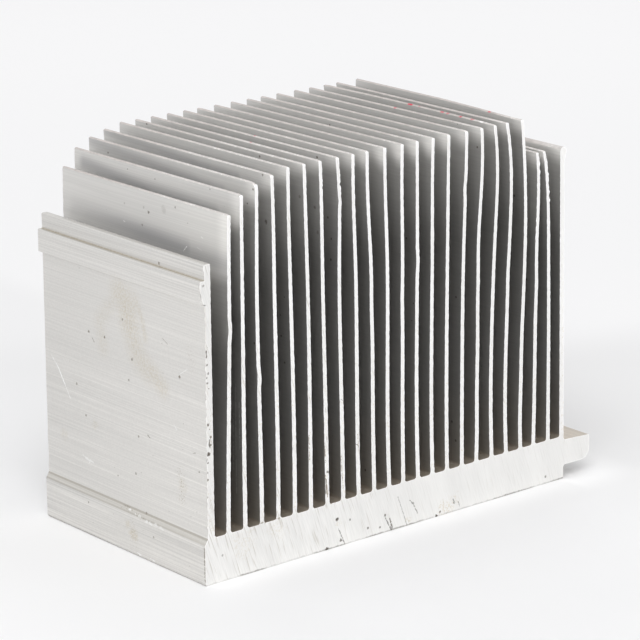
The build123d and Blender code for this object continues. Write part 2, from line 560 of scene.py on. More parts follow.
@dataclass(frozen=True)
class MillFinish:
    """Bare extruded aluminium, drawn with fine lines along its length, stained and scratched on the left."""

    name: str = "mill_finish"
    metal: Colour = (0.725, 0.713, 0.688, 1.0)
    dirt: Colour = (0.30, 0.27, 0.23, 1.0)
    bright: Colour = (0.93, 0.93, 0.92, 1.0)

    # Tones that the metal is multiplied by
    stain: Colour = (0.875, 0.83, 0.74, 1.0)
    step_shade: Colour = (0.865, 0.855, 0.835, 1.0)
    crease_shade: Colour = (0.79, 0.775, 0.745, 1.0)
    ledge_dirt_and_shade: Colour = (0.72, 0.67, 0.58, 1.0)
    speckle: Colour = (0.70, 0.66, 0.59, 1.0)
    tongue_tone: Colour = (0.79, 0.735, 0.67, 1.0)
    foot_tone: Colour = (0.74, 0.725, 0.70, 1.0)

    # How strongly the die's lines show on the face, on the base's side and on the rib
    face_lines: float = 0.10
    base_lines: float = 0.25
    rib_lines: float = 0.19
    thread_show: float = 0.10
    bump_strength: float = 0.3
    bump_reach: float = 0.015 * MM

    # Places on the left side: the step, its two creases with how strongly each shows, and the rib's ledge
    left_limit: float = -41.0 * MM
    step_height: float = 7.6 * MM
    creases: tuple[tuple[float, float], ...] = ((8.0 * MM, 1.0), (7.2 * MM, 0.6))
    rib_foot: float = 46.0 * MM
    ledge_height: float = 52.1 * MM
    ledge_root: float = -43.0 * MM

    # The place of the tongue's top
    tongue_root: float = 37.6 * MM
    tongue_top: float = 7.0 * MM

    stains: tuple[Trail, ...] = (
        Trail((on_left(0.4, 45.0), on_left(-2.0, 43.6)), 9.0, 0.8, 0.1),
        Trail((on_left(-1.2, 43.0), on_left(-2.2, 40.2)), 8.4, 0.9, 0.1),
        Trail((on_left(-2.2, 40.2), on_left(-4.2, 35.4), on_left(-7.2, 33.4)), 7.6, 0.7, 0.1),
        Trail((on_left(-4.0, 45.0), on_left(-5.8, 41.6), on_left(-6.6, 38.6)), 2.2, 0.6, 0.4),
        Trail((on_left(-8.0, 33.6), on_left(-11.0, 31.4)), 6.0, 0.75, 0.1),
        Trail((on_left(2.0, 43.8), on_left(6.4, 39.2), on_left(5.6, 34.6)), 5.0, 0.4, 0.1),
    )
    smudges: tuple[Patch, ...] = (
        Patch(on_left(-16.2, 15.6), 1.6, 0.3),
        Patch(on_left(-2.9, 3.6), 1.7, 0.9),
        Patch(on_left(-1.2, 5.0), 1.2, 0.6),
        Patch(on_left(8.6, 20.1), 1.2, 0.4),
        Patch(on_left(17.8, 16.0), 1.4, 0.35),
    )
    speckled: tuple[Trail, ...] = (
        Trail((on_left(-15.4, 17.8), on_left(-16.2, 15.8), on_left(-15.8, 13.4)), 3.4, 1.0, 0.4),
        Trail((on_left(-18.6, 40.0), on_left(-19.0, 36.6)), 3.0, 0.4, 0.4),
        Trail((on_left(-2.6, 6.0), on_left(-2.9, 2.4)), 3.4, 0.5, 0.4),
        Trail((on_left(0.6, 7.7), on_left(-5.6, 7.2)), 1.2, 0.8, 0.4),
    )
    specks: tuple[Patch, ...] = (
        Patch(on_left(9.65, 36.5), 0.32),
        Patch(on_left(5.08, 36.55), 0.32),
        Patch(on_left(-15.75, 34.35), 0.4),
        Patch(on_left(-0.15, 40.8), 0.3, 0.8),
        Patch(on_left(13.6, 26.3), 0.34, 0.7),
        Patch(on_left(-2.66, 34.4), 0.36, 0.9),
        Patch(on_left(-1.63, 30.55), 0.3, 0.8),
        Patch(on_left(11.1, 21.2), 0.3, 0.8),
        Patch(on_left(-4.1, 21.2), 0.3, 0.8),
        Patch(on_left(-3.1, 14.4), 0.3, 0.8),
        Patch(on_left(2.1, 12.7), 0.24, 0.7),
        Patch(on_left(-20.7, 19.25), 0.3, 0.7),
        Patch(on_left(-10.7, 52.6), 0.34, 0.9),
        Patch(on_left(10.1, 5.9), 0.28, 0.8),
        Patch(on_left(-8.6, 4.7), 0.28, 0.7),
        Patch(on_left(-5.9, 8.1), 0.3, 0.8),
    )
    nicks: tuple[Trail, ...] = (
        Trail((on_left(0.4, 7.9), on_left(-1.2, 7.9)), 0.2, 0.5, 2.4),
        Trail((on_left(-22.62, 6.6), on_left(-22.62, 3.8)), 0.32, 0.7, 2.4),
        Trail((on_left(-22.62, 3.2), on_left(-22.62, 0.6)), 0.3, 0.6, 2.4),
        Trail((on_left(8.7, 35.6), on_left(8.1, 35.0)), 0.3, 0.7),
        Trail((on_left(-6.7, 22.1), on_left(-7.2, 21.8)), 0.3, 0.9),
        Trail((on_left(-11.2, 40.0), on_left(-12.6, 39.3)), 0.2, 0.5),
        Trail((on_left(-19.1, 22.1), on_left(-19.8, 22.3)), 0.22, 0.6),
    )
    scratches: tuple[Trail, ...] = (
        Trail((on_left(20.9, 29.7), on_left(19.0, 28.0)), 0.24, 0.7, 1.8),
        Trail((on_left(19.0, 28.0), on_left(17.6, 26.0), on_left(16.6, 24.6)), 0.32, 1.0, 1.4),
        Trail((on_left(16.6, 24.6), on_left(15.6, 23.2)), 0.2, 0.7, 1.8),
        Trail((on_left(12.2, 13.8), on_left(11.4, 13.5), on_left(9.4, 13.2)), 0.36, 0.6, 2.0),
        Trail((on_left(10.6, 13.0), on_left(9.6, 12.8)), 0.3, 0.6, 2.0),
        Trail((on_left(-15.9, 34.9), on_left(-17.9, 36.2)), 0.22, 0.6),
        Trail((on_left(-14.0, 25.8), on_left(-14.8, 25.0)), 0.24, 0.7),
    )
    dings: tuple[Trail, ...] = (
        Trail((on_left(-1.3, 7.65), on_left(-1.7, 7.65)), 0.34, 0.8, 1.4),
        Trail((on_left(-3.4, 7.35), on_left(-5.0, 7.3)), 0.34, 0.5, 2.2),
        Trail((on_left(-6.6, 6.95), on_left(-8.2, 6.85)), 0.5, 0.65, 2.2),
        Trail((on_left(-9.0, 7.05), on_left(-11.2, 6.85)), 0.4, 0.5, 2.4),
        Trail((on_left(-3.7, 0.6), on_left(-4.9, 0.4)), 0.34, 0.8, 1.6),
        Trail((on_left(-7.6, 0.55), on_left(-8.8, 0.4)), 0.32, 0.7, 1.8),
    )

    def make(self, effects: Effects) -> bpy.types.Material:
        """Makes the material of the outside faces.

        Args:
            effects: the shared surface effects.

        Returns:
            The material.
        """
        material, wiring, shader, place = new_material(self.name)
        lines = wiring.effect(effects.die_lines, Vector=place)
        colour = self._drawn(wiring, lines, place)
        colour = self._stained(wiring, effects, place, colour)
        colour = self._marked(wiring, effects, place, colour)
        wiring.feed(shader.inputs["Base Color"], colour)
        wiring.feed(shader.inputs["Roughness"], wiring.ramp(lines.outputs["Bands"], 0.3, 0.7, 0.46, 0.50))
        wiring.bump(shader, lines.outputs["Lines"], self.bump_strength, self.bump_reach)
        shader.inputs["Metallic"].default_value = 1.0
        return material

    def _drawn(self, wiring: Wiring, lines: bpy.types.Node, place: Socket) -> Socket:
        """Draws the lines, which are stronger on the base's side than on the face above it, and paints light
        that grows towards the sawn end.

        Args:
            wiring: the wiring of the material.
            lines: the effect that gives the lines.
            place: the place on the surface.

        Returns:
            The drawn colour.
        """
        _, y, z = wiring.parts(place)
        step, ledge = self.step_height, self.ledge_height
        show = wiring.ramp(z, step + 0.4 * MM, step - 0.4 * MM, self.face_lines, self.base_lines)
        on_rib = wiring.ramp(z, self.rib_foot, self.rib_foot + 3 * MM, 0.0, self.rib_lines)
        show = wiring.sum("MAXIMUM", show, on_rib)
        swing = wiring.product(wiring.sum("SUBTRACT", lines.outputs["Lines"], 0.5), show)
        low_half = wiring.ramp(z, 34 * MM, 24 * MM, 0.25, 1.0)
        threads = wiring.product(lines.outputs["Threads"], low_half)
        tone = wiring.sum("MULTIPLY_ADD", swing, 2.0, 1.0)
        tone = wiring.sum("MULTIPLY_ADD", threads, self.thread_show, tone)
        tone = wiring.product(
            tone,
            wiring.ramp(lines.outputs["Bands"], 0.3, 0.7, 0.98, 1.02),
            wiring.ramp(lines.outputs["Grain"], 0.3, 0.7, 0.975, 1.025),
            # Painted light: lighter towards the sawn end, darker towards the back
            wiring.ramp(y, 22 * MM, -22 * MM, 0.975, 1.04),
            wiring.ramp(z, ledge, ledge + 0.3 * MM, 1.0, 0.95),
        )
        return wiring.shade(self.metal, tone)

    def _stained(self, wiring: Wiring, effects: Effects, place: Socket, colour: Socket) -> Socket:
        """Stains the left side, and shades its step and its ledge.

        Args:
            wiring: the wiring of the material.
            effects: the shared surface effects.
            place: the place on the surface.
            colour: the clean colour.

        Returns:
            The stained colour.
        """
        x, _, z = wiring.parts(place)
        left = wiring.ramp(x, self.left_limit, self.left_limit - 1 * MM)
        flat = wiring.stretch(place, ACROSS_FLAT)
        grime = wiring.noise(flat, scale=2400.0, detail=3.0, roughness=0.7)
        grime_show = wiring.ramp(grime, 0.42, 0.60, 0.2, 1.0)
        spreads = (effects.trails(wiring, flat, self.stains), effects.patches(wiring, flat, self.smudges))
        for spread in spreads:
            colour = wiring.tint(colour, wiring.product(spread, left, grime_show), self.stain)
        step = wiring.product(
            wiring.ramp(z, self.step_height - 0.6 * MM, self.step_height - 0.3 * MM),
            wiring.ramp(z, self.step_height + 0.7 * MM, self.step_height + 0.4 * MM),
            left,
        )
        colour = wiring.tint(colour, step, self.step_shade)
        for height, show in self.creases:
            away = wiring.sum("ABSOLUTE", wiring.sum("SUBTRACT", z, height))
            crease = wiring.product(wiring.ramp(away, 0.24 * MM, 0.06 * MM), left, show)
            colour = wiring.tint(colour, crease, self.crease_shade)
        # Dirt and painted shade along the root of the rib's ledge
        away = wiring.sum("ABSOLUTE", wiring.sum("SUBTRACT", z, self.ledge_height))
        ledge = wiring.product(
            wiring.ramp(away, 0.16 * MM, 0.08 * MM),
            wiring.ramp(x, self.ledge_root - 0.55 * MM, self.ledge_root - 0.3 * MM),
            left,
            wiring.ramp(grime, 0.3, 0.55, 0.4, 0.95),
        )
        colour = wiring.tint(colour, ledge, self.ledge_dirt_and_shade)
        dots = wiring.ramp(wiring.noise(flat, scale=3400.0, detail=2.0, roughness=0.5), 0.56, 0.64)
        dotted = wiring.product(effects.trails(wiring, flat, self.speckled), left, dots)
        return wiring.tint(colour, dotted, self.speckle)

    def _marked(self, wiring: Wiring, effects: Effects, place: Socket, colour: Socket) -> Socket:
        """Specks and scratches the left side, dulls the tongue's top and darkens the foot.

        Args:
            wiring: the wiring of the material.
            effects: the shared surface effects.
            place: the place on the surface.
            colour: the stained colour.

        Returns:
            The marked colour.
        """
        x, _, z = wiring.parts(place)
        left = wiring.ramp(x, self.left_limit, self.left_limit - 1 * MM)
        flat = wiring.stretch(place, ACROSS_FLAT)
        dust = wiring.effect(effects.specks, Vector=flat, Spacing=2.2 * MM, Size=0.07 * MM).outputs[0]
        dark = wiring.strongest(
            effects.patches(wiring, flat, self.specks),
            effects.trails(wiring, flat, self.nicks),
            wiring.product(dust, 0.5),
        )
        colour = wiring.blend(wiring.product(dark, left), colour, self.dirt)
        bright = wiring.strongest(
            effects.trails(wiring, flat, self.scratches),
            effects.trails(wiring, flat, self.dings),
        )
        colour = wiring.blend(wiring.product(bright, left), colour, self.bright)
        tongue = wiring.product(
            wiring.ramp(x, self.tongue_root, self.tongue_root + 0.3 * MM),
            wiring.ramp(z, self.tongue_top - 0.3 * MM, self.tongue_top),
        )
        colour = wiring.tint(colour, tongue, self.tongue_tone)
        # A thin rough dark line along the bottom edge
        foot = wiring.effect(effects.dark_foot_line, Vector=place).outputs[0]
        return wiring.tint(colour, foot, self.foot_tone)


@dataclass(frozen=True)
class SawnFinish:
    """The near-white face that a saw leaves, with slanted lines and pits."""

    name: str = "sawn_finish"
    metal: Colour = (0.88, 0.875, 0.86, 1.0)
    pit: Colour = (0.16, 0.14, 0.12, 1.0)

    # Tones that the metal is multiplied by
    groove: Colour = (0.80, 0.785, 0.755, 1.0)
    brown: Colour = (0.82, 0.76, 0.66, 1.0)
    torn: Colour = (0.91, 0.90, 0.88, 1.0)
    dirt_tone: Colour = (0.48, 0.43, 0.37, 1.0)
    pitting_tone: Colour = (0.45, 0.42, 0.38, 1.0)
    wall_tone: Colour = (0.92, 0.92, 0.915, 1.0)
    foot_tone: Colour = (0.50, 0.49, 0.47, 1.0)

    # The saw's lines: how strongly they and its deeper marks show, and how they lean
    line_depth: float = 0.11
    mark_show: float = 1.0
    slant: float = 0.32
    bump_strength: float = 0.35
    bump_reach: float = 0.015 * MM

    # The inner side of the left wall's end, and the height from which the end counts as walls and fins
    wall_limit: float = -42.0 * MM
    walls_from: float = 9.4 * MM

    pits: tuple[Patch, ...] = (
        Patch(on_front(-15.8, 5.0), 0.44),
        Patch(on_front(-15.0, 1.0), 0.38, 0.8),
        Patch(on_front(-18.1, 0.1), 0.5),
        Patch(on_front(-12.9, 4.2), 0.3, 0.7),
        Patch(on_front(-8.9, 1.7), 0.34, 0.8),
        Patch(on_front(-6.2, 1.2), 0.3, 0.7),
        Patch(on_front(-5.0, 3.1), 0.34, 0.8),
        Patch(on_front(-40.5, 4.6), 0.3, 0.5),
        Patch(on_front(7.7, 0.7), 0.3, 0.8),
        Patch(on_front(6.8, 0.1), 0.42),
        Patch(on_front(1.4, 3.8), 0.3, 0.7),
        Patch(on_front(11.0, 1.7), 0.3, 0.7),
        Patch(on_front(33.2, 1.3), 0.34, 0.7),
        Patch(on_front(-42.85, 38.0), 0.26, 0.7),
        Patch(on_front(-42.65, 36.5), 0.28, 0.7),
        Patch(on_front(-42.95, 35.8), 0.22, 0.7),
        Patch(on_front(-42.85, 34.9), 0.28, 0.7),
        Patch(on_front(-42.9, 27.8), 0.34, 0.9),
        Patch(on_front(-42.95, 22.8), 0.5),
        Patch(on_front(-43.35, 22.0), 0.26, 0.8),
        Patch(on_front(-43.1, 21.3), 0.24, 0.8),
        Patch(on_front(-43.3, 19.7), 0.3, 0.8),
        Patch(on_front(-43.3, 51.35), 0.32, 0.5),
        Patch(on_front(-17.8, 14.0), 0.3, 0.8),
    )
    gouges: tuple[Trail, ...] = (
        Trail((on_front(-15.5, 3.2), on_front(-14.6, 1.2), on_front(-14.1, 0.0)), 0.24, 0.6, 1.6),
        Trail((on_front(-2.05, 5.75), on_front(-1.0, 2.9), on_front(0.0, 0.1)), 0.2, 0.45, 1.6),
        Trail((on_front(-5.1, 2.9), on_front(-3.5, 0.0)), 0.26, 0.7, 2.0),
        Trail((on_front(-3.9, 2.2), on_front(-3.4, 0.3)), 0.3, 0.8, 2.0),
        Trail((on_front(-18.1, 12.6), on_front(-18.2, 10.2)), 0.3, 0.7),
        Trail((on_front(-17.3, 14.6), on_front(-17.6, 13.8)), 0.26, 0.7),
        Trail((on_front(-42.6, 25.2), on_front(-42.75, 24.4), on_front(-42.6, 23.8)), 0.3, 0.9),
        Trail((on_front(0.7, 4.5), on_front(1.5, 3.6), on_front(2.4, 1.8)), 0.22, 0.6, 2.0),
        Trail((on_front(10.8, 2.3), on_front(11.1, 1.4)), 0.24, 0.7, 1.4),
        Trail((on_front(12.0, 1.6), on_front(12.4, 0.5)), 0.2, 0.6, 1.4),
        Trail((on_front(-42.95, 40.3), on_front(-42.9, 39.3)), 0.34, 0.9),
        Trail((on_front(-11.6, 17.5), on_front(-11.1, 17.3), on_front(-10.9, 16.9)), 0.2, 0.7),
        Trail((on_front(-18.1, 25.4), on_front(-18.0, 24.6)), 0.2, 0.5),
        Trail((on_front(-17.9, 20.3), on_front(-17.8, 19.3)), 0.24, 0.5),
        Trail((on_front(-14.7, 26.2), on_front(-14.3, 25.9)), 0.2, 0.5),
    )
    dirt: tuple[Trail, ...] = (
        Trail((on_front(-21.75, 21.4), on_front(-21.65, 17.0)), 0.2, 0.7, 2.4),
        Trail((on_front(-18.45, 19.2), on_front(-18.15, 15.8)), 0.22, 0.8, 2.4),
        Trail((on_front(-18.3, 13.6), on_front(-17.8, 9.6)), 0.26, 0.9, 2.4),
        Trail((on_front(-14.8, 16.2), on_front(-14.4, 10.2)), 0.2, 0.7, 2.4),
        Trail((on_front(-11.05, 19.2), on_front(-10.8, 15.6)), 0.18, 0.6, 2.4),
        Trail((on_front(-33.6, 8.3), on_front(-31.2, 8.2)), 0.3, 0.8, 2.4),
        Trail((on_front(-30.2, 8.4), on_front(-28.4, 8.2)), 0.26, 0.7, 2.4),
        Trail((on_front(-17.2, 8.2), on_front(-15.4, 8.2)), 0.26, 0.8, 2.4),
    )
    tears: tuple[Trail, ...] = (
        Trail((on_front(-43.05, 47.6), on_front(-43.1, 44.0), on_front(-43.3, 38.0)), 0.8, 1.0),
        Trail((on_front(-43.3, 38.0), on_front(-43.4, 31.0), on_front(-43.45, 22.0)), 0.5, 0.7),
        Trail((on_front(-44.0, 51.0), on_front(-43.9, 49.4), on_front(-43.3, 47.8)), 0.4, 0.7),
    )
    tints: tuple[Patch, ...] = (
        Patch(on_front(8.6, 1.0), 2.4, 0.7),
        Patch(on_front(11.2, 2.0), 1.8, 0.5),
        Patch(on_front(0.2, 1.0), 0.9, 0.7),
        Patch(on_front(-15.6, 4.0), 1.0, 0.4),
        Patch(on_front(-36.0, 5.4), 3.4, 0.3),
        Patch(on_front(-29.0, 6.2), 2.4, 0.3),
    )

    def make(self, effects: Effects) -> bpy.types.Material:
        """Makes the material of the two sawn ends.

        Args:
            effects: the shared surface effects.

        Returns:
            The material.
        """
        material, wiring, shader, place = new_material(self.name)
        lines = wiring.effect(effects.saw_lines, Vector=place, Slant=self.slant)
        colour = self._sawn(wiring, lines, place)
        colour = self._worn(wiring, effects, place, colour)
        wiring.feed(shader.inputs["Base Color"], colour)
        wiring.bump(shader, lines.outputs["Grooves"], self.bump_strength, self.bump_reach)
        shader.inputs["Metallic"].default_value = 1.0
        shader.inputs["Roughness"].default_value = 0.6
        return material

    def _sawn(self, wiring: Wiring, lines: bpy.types.Node, place: Socket) -> Socket:
        """Draws the saw's lines, which are rougher to the left, and paints the ends of the walls and fins a
        little lighter as a highlight.

        Args:
            wiring: the wiring of the material.
            lines: the effect that gives the lines.
            place: the place on the surface.

        Returns:
            The sawn colour.
        """
        x, _, z = wiring.parts(place)
        rough_side = wiring.ramp(x, 4 * MM, -24 * MM, 0.5, 1.0)
        swing = wiring.product(wiring.sum("SUBTRACT", lines.outputs["Grooves"], 0.5), rough_side)
        tone = wiring.product(
            wiring.sum("MULTIPLY_ADD", swing, self.line_depth * 2, 1.0),
            wiring.ramp(lines.outputs["Bands"], 0.3, 0.7, 0.975, 1.02),
            # Painted highlight: the ends of the walls and fins are a little lighter than the base's end
            wiring.ramp(z, self.walls_from - 1.8 * MM, self.walls_from, 1.0, 1.05),
        )
        marks = wiring.product(lines.outputs["Marks"], rough_side, rough_side, self.mark_show)
        return wiring.tint(wiring.shade(self.metal, tone), marks, self.groove)

    def _worn(self, wiring: Wiring, effects: Effects, place: Socket, colour: Socket) -> Socket:
        """Browns, tears and pits the end that faces the camera, and darkens both at the foot.

        Args:
            wiring: the wiring of the material.
            effects: the shared surface effects.
            place: the place on the surface.
            colour: the clean colour.

        Returns:
            The worn colour.
        """
        x, y, z = wiring.parts(place)
        front = wiring.ramp(y, 1 * MM, -1 * MM)
        flat = wiring.stretch(place, (1.0, 0.0, 1.0))
        dotted = wiring.ramp(wiring.noise(place, scale=2400.0, detail=3.0, roughness=0.7), 0.46, 0.6)
        browned = wiring.product(effects.patches(wiring, flat, self.tints), front, dotted)
        dirty = wiring.product(effects.trails(wiring, flat, self.dirt), front)
        on_wall = wiring.ramp(x, self.wall_limit + 0.2 * MM, self.wall_limit - 0.2 * MM)
        pitted = wiring.product(
            on_wall,
            wiring.ramp(z, 46 * MM, 38 * MM),
            wiring.ramp(z, 11 * MM, 17 * MM),
            front,
        )
        pits = wiring.effect(effects.specks, Vector=flat, Spacing=0.8 * MM, Size=0.2 * MM).outputs[0]
        wall_end = wiring.product(
            wiring.ramp(x, self.wall_limit + 0.4 * MM, self.wall_limit),
            wiring.ramp(z, 9 * MM, 11 * MM),
            front,
        )
        torn = wiring.product(effects.trails(wiring, flat, self.tears), front)
        grime = wiring.product(
            wiring.ramp(wiring.noise(place, scale=2600.0, detail=2.0, roughness=0.6), 0.58, 0.70),
            wiring.ramp(z, 50 * MM, 24 * MM),
            wiring.ramp(z, 7.5 * MM, 9.5 * MM),
            0.5,
        )
        for mask, tone in (
            (browned, self.brown),
            (dirty, self.dirt_tone),
            (wiring.product(pits, pitted), self.pitting_tone),
            (wall_end, self.wall_tone),
            (torn, self.torn),
            (grime, self.brown),
        ):
            colour = wiring.tint(colour, mask, tone)
        dark = wiring.strongest(
            effects.patches(wiring, flat, self.pits),
            effects.trails(wiring, flat, self.gouges),
        )
        colour = wiring.blend(wiring.product(dark, front), colour, self.pit)
        # A thin rough dark line along the bottom edge
        foot = wiring.effect(effects.dark_foot_line, Vector=place).outputs[0]
        return wiring.tint(colour, foot, self.foot_tone)


@dataclass(frozen=True)
class SlotFinish:
    """The fins' sides and slot floors, with painted shade that darkens them with depth, painted light near
    the sawn end, and brown at the bottom.
    """

    depth_name: ClassVar[str] = "slot_depth"

    name: str = "slot_finish"
    mouth: Colour = (0.73, 0.722, 0.706, 1.0)
    painted_deep_shade: Colour = (0.485, 0.477, 0.462, 1.0)
    foot: Colour = (0.51, 0.485, 0.45, 1.0)
    floor: Colour = (0.62, 0.555, 0.475, 1.0)
    scuff: Colour = (0.9, 0.89, 0.87, 1.0)
    bright: Colour = (0.95, 0.95, 0.94, 1.0)

    # Tones that the metal is multiplied by
    painted_lip_light: Colour = (1.13, 1.13, 1.13, 1.0)
    painted_far_lip_light: Colour = (1.09, 1.09, 1.09, 1.0)
    painted_light_tone: Colour = (1.055, 1.055, 1.05, 1.0)
    painted_reflection_tone: Colour = (0.68, 0.68, 0.70, 1.0)
    speck_tone: Colour = (0.42, 0.39, 0.36, 1.0)

    # The depths below the mouth at which the painted shade in a slot starts and is full, and how much
    # sooner that comes across the comb: from one place to another, by a depth
    mouth_depth: float = 2.0 * MM
    full_depth: float = 5.4 * MM
    sooner: tuple[tuple[float, float, float], ...] = (
        (-38 * MM, -34 * MM, 1.0 * MM),
        (-34 * MM, -24 * MM, 0.8 * MM),
        (-10 * MM, 14 * MM, 0.2 * MM),
    )

    # The lip at the sawn end, where a slot is given painted light, and the heights of its foot and floor
    lip_place: float = -22.5 * MM
    lip_length: float = 3.2 * MM
    foot_height: float = 26.0 * MM
    floor_height: float = 8.8 * MM

    # The places across the comb between which the first two fins lie
    first_fin_limit: float = -37.4 * MM
    second_fin: tuple[float, float] = (-36.8 * MM, -34.8 * MM)

    # Marks on the side of the first fin, which the low left wall leaves open to view
    dark_marks: tuple[Patch, ...] = (
        Patch(on_left(-1.75, 58.7), 0.38, 0.9),
        Patch(on_left(0.05, 56.2), 0.3, 0.6),
        Patch(on_left(-0.4, 59.3), 0.3, 0.3),
        Patch(on_left(-5.9, 59.9), 0.9, 0.15),
        Patch(on_left(-9.0, 60.9), 0.28, 0.6),
        Patch(on_left(5.0, 59.0), 0.26, 0.3),
    )
    bright_marks: tuple[Trail, ...] = (
        Trail((on_left(-11.2, 54.0), on_left(-12.1, 54.9)), 0.24, 0.8, 1.6),
        Trail((on_left(-15.9, 57.3), on_left(-16.4, 57.1)), 0.24, 0.6),
        Trail((on_left(5.3, 55.9), on_left(4.9, 55.8)), 0.24, 0.5),
        Trail((on_left(-14.9, 55.3), on_left(-16.0, 55.0)), 0.18, 0.35),
    )
    # Light streaks down the second fin's side, just behind its front edge
    streaks: tuple[Trail, ...] = (
        Trail((on_left(-22.1, 30.0), on_left(-22.2, 22.0)), 0.22, 0.5, 1.8),
        Trail((on_left(-21.2, 33.0), on_left(-21.1, 14.0)), 0.3, 0.4, 1.4),
        Trail((on_left(-20.6, 28.0), on_left(-20.4, 18.0)), 0.2, 0.35, 1.8),
    )
    # Painted dark reflections of the surroundings, soft, on the first fin, weaker to the back, and on the
    # next
    first_shades: tuple[Trail, ...] = (
        Trail((on_fin(-38.2, 19.0, 55.7), on_fin(-38.2, -12.0, 54.4)), 5.4, 0.8, 0.0),
        Trail((on_fin(-38.2, -8.0, 54.2), on_fin(-38.2, -24.0, 53.8)), 6.0, 0.5, 0.0),
    )
    shades: tuple[Trail, ...] = (
        Trail((on_fin(-35.5, 20.0, 62.9), on_fin(-35.5, 2.0, 61.4)), 4.0, 0.66, 0.1),
        Trail((on_fin(-35.5, 16.0, 62.1), on_fin(-35.5, -16.0, 60.8)), 4.4, 0.55, 0.0),
        Trail(
            (on_fin(-32.4, 23.0, 66.2), on_fin(-32.4, 2.7, 64.6), on_fin(-32.4, -14.0, 63.4)),
            3.6, 0.5, 0.1,
        ),
        Trail((on_fin(-29.1, 22.0, 67.2), on_fin(-29.1, -14.0, 65.2)), 3.0, 0.5, 0.0),
    )
    dark_specks: tuple[Patch, ...] = (
        Patch(on_fin(-29.0, -21.3, 59.2), 0.5, 0.8),
        Patch(on_fin(-29.1, -20.8, 67.0), 0.3, 0.8),
        Patch(on_fin(-22.2, -21.8, 62.4), 0.4, 0.5),
        Patch(on_fin(-18.8, -21.5, 60.0), 0.45, 0.6),
        Patch(on_fin(-18.8, -22.1, 55.8), 0.4, 0.5),
        Patch(on_fin(-32.4, -22.3, 65.4), 0.3, 0.8),
    )

    def make(self, effects: Effects) -> bpy.types.Material:
        """Makes the material between the fins.

        Args:
            effects: the shared surface effects.

        Returns:
            The material.
        """
        material, wiring, shader, place = new_material(self.name)
        depth = wiring.add("ShaderNodeAttribute", attribute_name=self.depth_name).outputs["Fac"]
        lines = wiring.effect(effects.die_lines, Vector=place)
        tone = wiring.ramp(lines.outputs["Lines"], 0.3, 0.7, 0.972, 1.024)
        colour = wiring.shade(self._darkened(wiring, place, depth), tone)
        colour = self._shaded(wiring, effects, place, colour)
        colour = self._marked(wiring, effects, place, colour)
        wiring.feed(shader.inputs["Base Color"], colour)
        wiring.feed(shader.inputs["Roughness"], wiring.ramp(depth, 0.0, 20 * MM, 0.85, 0.55))
        shader.inputs["Metallic"].default_value = 1.0
        return material

    def _darkened(self, wiring: Wiring, place: Socket, depth: Socket) -> Socket:
        """Paints shade into the metal with depth, later and with painted light near the sawn end, and browns
        it at the bottom.

        Args:
            wiring: the wiring of the material.
            place: the place on the surface.
            depth: how far down in its slot it lies.

        Returns:
            The darkened colour.
        """
        x, y, z = wiring.parts(place)
        lip = wiring.ramp(y, self.lip_place + self.lip_length, self.lip_place)
        far_lip_light_mask = wiring.product(
            lip,
            wiring.ramp(x, -14 * MM, -2 * MM),
            wiring.ramp(x, 18 * MM, 2 * MM, 0.2, 1.0),
        )
        at_lip = wiring.sum(
            "ADD",
            wiring.ramp(x, -18 * MM, -4 * MM, 0.4 * MM, -1.4 * MM),
            wiring.ramp(x, 2 * MM, 20 * MM, 0.0, 0.9 * MM),
        )
        depth = wiring.sum("MULTIPLY_ADD", lip, at_lip, depth)
        for start, end, sooner in self.sooner:
            depth = wiring.sum("ADD", depth, wiring.ramp(x, start, end, 0.0, sooner))
        # Painted light: the slots are lightened near the sawn end, more so in the middle of the comb
        colour = wiring.tint(self.mouth, lip, self.painted_lip_light)
        colour = wiring.tint(colour, far_lip_light_mask, self.painted_far_lip_light)
        # Painted shade: the slot darkens with depth, then browns towards its foot and floor
        for share, tone in (
            (wiring.ramp(depth, self.mouth_depth, self.full_depth), self.painted_deep_shade),
            (wiring.ramp(z, self.foot_height, 10 * MM), self.foot),
            (wiring.ramp(z, self.floor_height, self.floor_height - 0.5 * MM), self.floor),
        ):
            colour = wiring.blend(share, colour, tone)
        return colour

    def _shaded(self, wiring: Wiring, effects: Effects, place: Socket, colour: Socket) -> Socket:
        """Lays the painted dark reflections on the first fins, and dark specks on them all.

        Args:
            wiring: the wiring of the material.
            effects: the shared surface effects.
            place: the place on the surface.
            colour: the clean colour.

        Returns:
            The shaded colour.
        """
        _, y, _ = wiring.parts(place)
        first_fin, flat = self._open_side(wiring, place)
        # Painted dark reflections, faded in from the back on the first fin
        first_shade = wiring.product(
            effects.trails(wiring, place, self.first_shades),
            wiring.ramp(y, 20 * MM, -3 * MM, 0.2, 1.0),
        )
        shade = wiring.strongest(first_shade, effects.trails(wiring, place, self.shades))
        dust = wiring.effect(effects.specks, Vector=place, Spacing=2.5 * MM, Size=0.2 * MM).outputs[0]
        dark = wiring.strongest(
            wiring.product(effects.patches(wiring, flat, self.dark_marks), first_fin),
            effects.patches(wiring, place, self.dark_specks),
            wiring.product(dust, 0.85),
        )
        return wiring.tint(wiring.tint(colour, shade, self.painted_reflection_tone), dark, self.speck_tone)

    def _marked(self, wiring: Wiring, effects: Effects, place: Socket, colour: Socket) -> Socket:
        """Lays the light marks: scuffs on all the fins, streaks and scratches on the first two, and painted
        light on the first fin towards the sawn end.

        Args:
            wiring: the wiring of the material.
            effects: the shared surface effects.
            place: the place on the surface.
            colour: the shaded colour.

        Returns:
            The marked colour.
        """
        x, y, z = wiring.parts(place)
        first_fin, flat = self._open_side(wiring, place)
        drawn_down = wiring.stretch(place, (0.3, 1.0, 0.02))
        scuffs = wiring.product(
            wiring.ramp(wiring.noise(drawn_down, scale=420.0, detail=2.0, roughness=0.5), 0.66, 0.76),
            wiring.ramp(z, 48 * MM, 42 * MM),
            0.14,
        )
        colour = wiring.blend(scuffs, colour, self.scuff)
